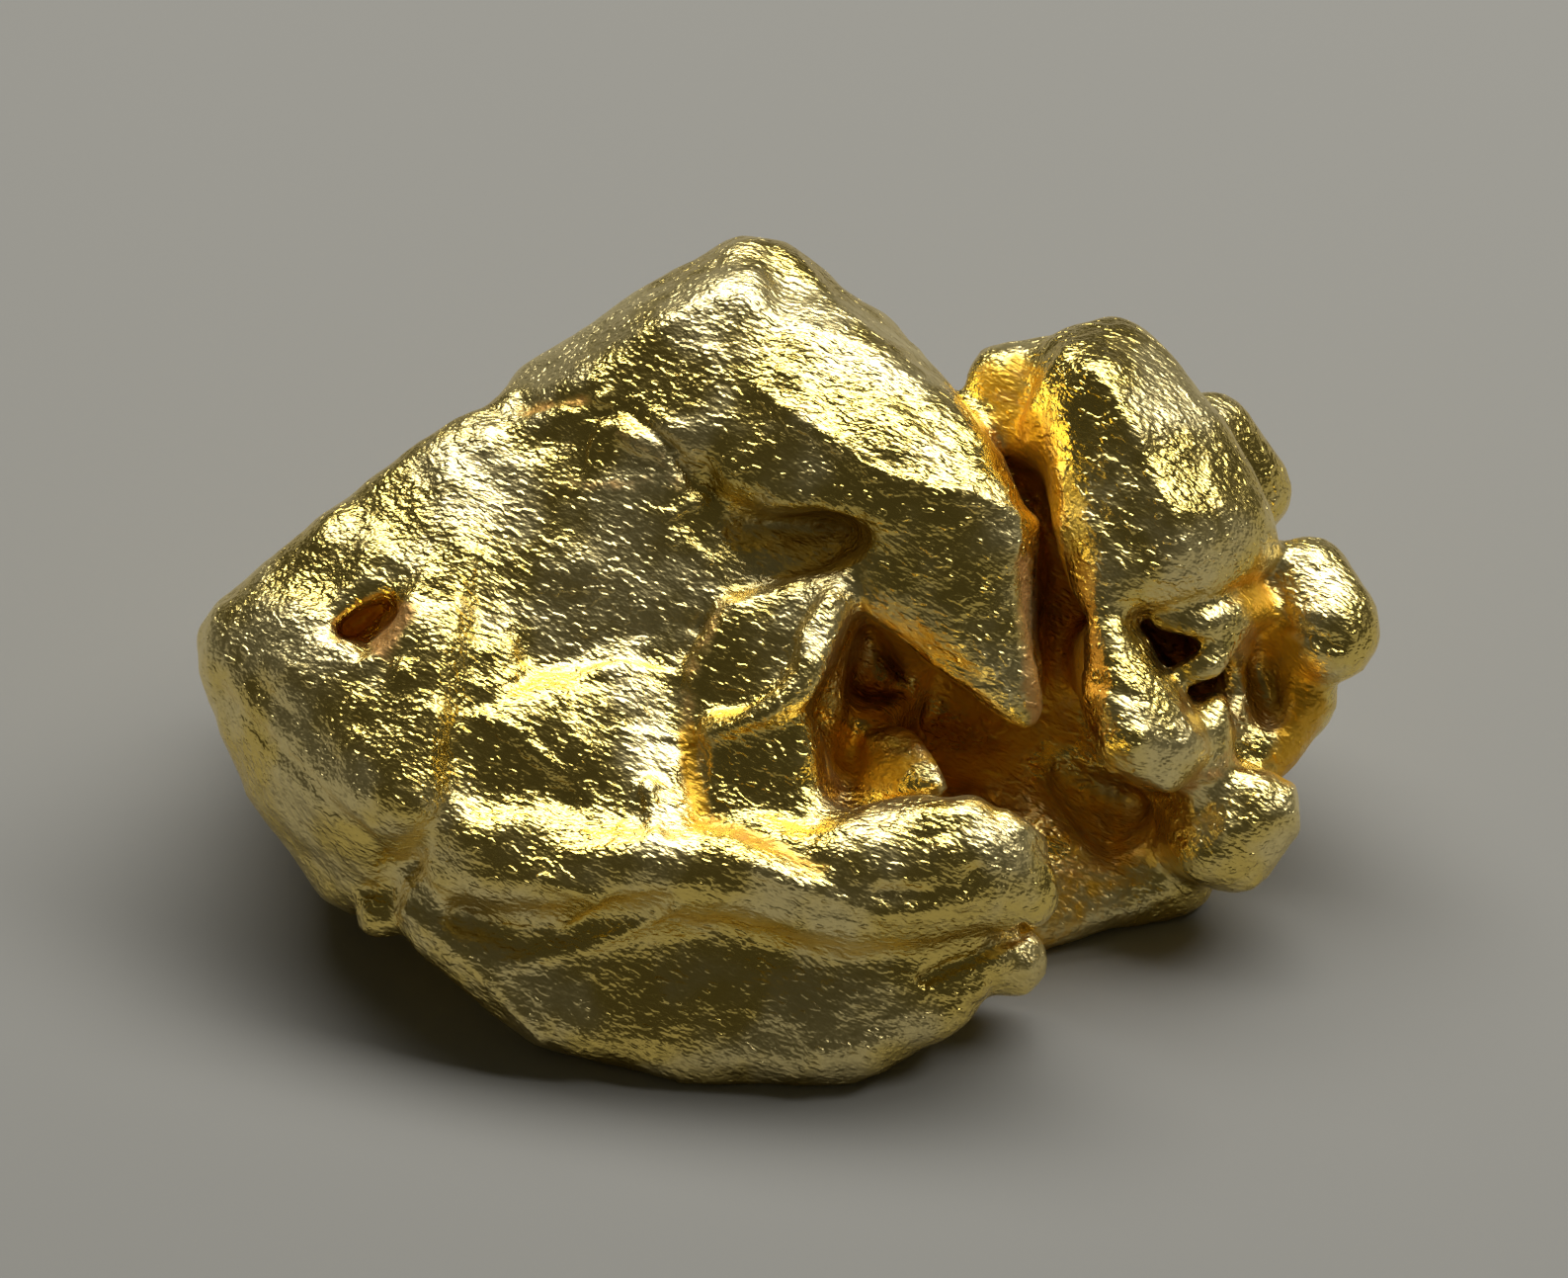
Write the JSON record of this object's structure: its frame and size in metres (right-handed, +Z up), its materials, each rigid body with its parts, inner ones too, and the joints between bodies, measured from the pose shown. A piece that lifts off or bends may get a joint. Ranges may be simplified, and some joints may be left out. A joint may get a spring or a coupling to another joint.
{
  "type": "gold nugget",
  "caption": "Natural lump of native gold, water-worn and folded, with a peaked crown, a deep crevice and knobbed lobes; a display or collection piece.",
  "frame": {"origin": "middle of the footprint, on the surface the nugget rests on", "axes": "+X along the length, from the blunt left end to the knobbed lobes; +Z up; the broad folded face looks towards -Y and up"},
  "size_m": [0.012, 0.008, 0.0058],
  "materials": {
    "gold": "satin"
  },
  "bodies": {
    "root": {"nugget": "gold"}
  },
  "joints": []
}
